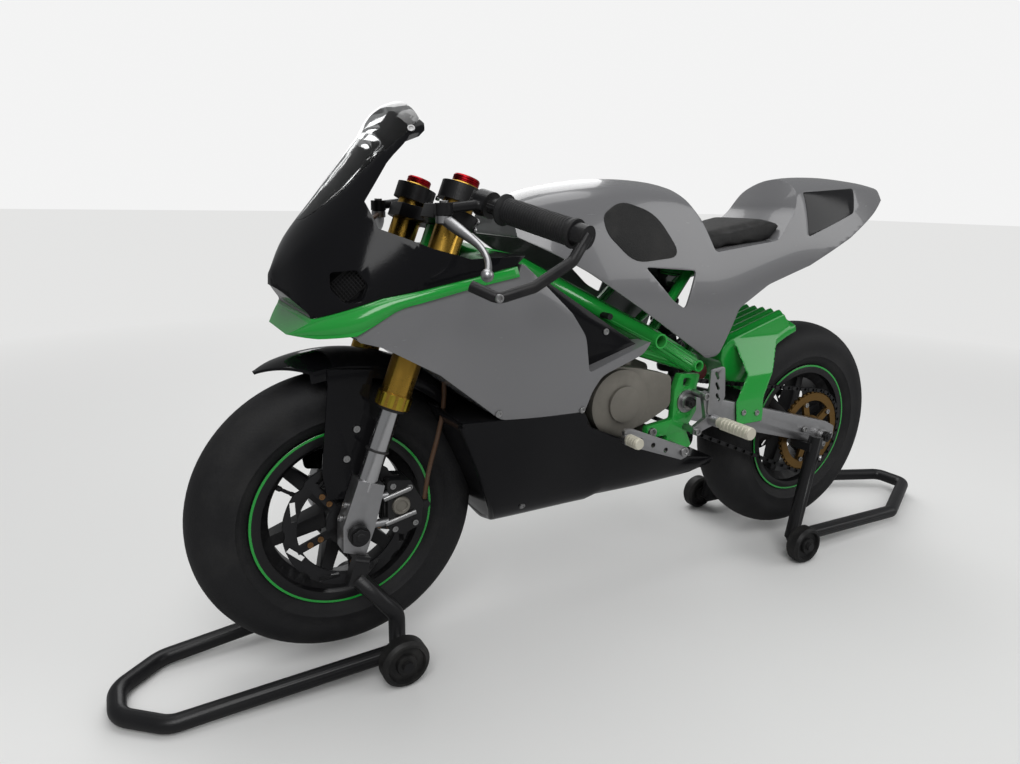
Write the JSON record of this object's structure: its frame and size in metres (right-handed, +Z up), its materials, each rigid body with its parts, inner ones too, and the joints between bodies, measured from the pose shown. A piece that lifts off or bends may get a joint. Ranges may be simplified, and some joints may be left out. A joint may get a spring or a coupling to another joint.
{
  "type": "mini racing motorcycle on paddock stands",
  "caption": "Small race motorcycle with full fairing, trellis frame and slick tyres, held level by a front and a rear paddock stand; wheels spin and the fork steers.",
  "frame": {"origin": "on the floor under the middle of the overall length, midway across the width", "axes": "+X forward to the front wheel, +Y to the rider's left, +Z up"},
  "size_m": [1.768, 0.608, 0.8321],
  "materials": {
    "green_paint": "gloss",
    "cast_alloy": "satin",
    "cover_alloy": "satin",
    "steel": "satin",
    "black_metal": "satin",
    "alloy": "satin",
    "peg_alloy": "matte",
    "dark_steel": "satin",
    "black_panel": "gloss",
    "clear_screen": "gloss",
    "grey_panel": "gloss",
    "pad_leather": "matte",
    "roller_black": "matte",
    "gold_tube": "gloss",
    "chrome_tube": "gloss",
    "grip_rubber": "matte",
    "black_plastic": "satin",
    "hose_rubber": "satin",
    "tyre": "matte"
  },
  "bodies": {
    "root": {"main_frame": "green_paint", "side_plates": "green_paint", "engine_block": "cast_alloy", "engine_cylinder": "cast_alloy", "engine_covers": "cover_alloy", "exhaust_pipe": "steel", "silencer": "black_metal", "foot_levers": "alloy", "rearsets": "alloy", "footpegs": "peg_alloy", "swingarm": "alloy", "axle_bolts": "steel", "shock": "black_metal", "chain": "dark_steel", "upper_fairing": "black_panel", "screen": "clear_screen", "fairing_band": "green_paint", "side_fairings": "grey_panel", "inner_panels": "black_panel", "belly_pan": "black_panel", "fairing_stay": "black_metal", "seat_unit": "grey_panel", "tail_panels": "black_panel", "seat_pad": "pad_leather", "hugger": "green_paint", "rear_caliper": "black_metal", "front_stand": "black_metal", "rear_stand": "black_metal", "stand_rollers": "roller_black"},
    "steering": {"yokes": "black_metal", "fork_tubes": "gold_tube", "fork_sliders": "chrome_tube", "fork_feet": "alloy", "front_axle": "dark_steel", "clip_ons": "black_metal", "grips": "grip_rubber", "lever_perches": "black_metal", "levers": "alloy", "lever_guards": "black_plastic", "front_fender": "black_panel", "front_caliper": "black_metal", "brake_hose": "hose_rubber"},
    "front_wheel": {"front_rim": "black_metal", "front_tyre": "tyre", "front_disc": "dark_steel"},
    "rear_wheel": {"rear_rim": "black_metal", "rear_tyre": "tyre", "rear_disc": "dark_steel", "rear_sprocket": "gold_tube"}
  },
  "joints": [
    {"name": "steering_turn", "type": "hinge", "parent": "root", "child": "steering", "pos_m": [0.5289, 0, 0.2343], "axis": [-0.3502, 0, 0.9367], "range_deg": [-20, 20]},
    {"name": "front_wheel_spin", "type": "hinge", "parent": "steering", "child": "front_wheel", "pos_m": [0.5495, 0, 0.242], "axis": [0, 1, 0], "continuous": true},
    {"name": "rear_wheel_spin", "type": "hinge", "parent": "root", "child": "rear_wheel", "pos_m": [-0.4355, 0, 0.242], "axis": [0, 1, 0], "continuous": true}
  ]
}
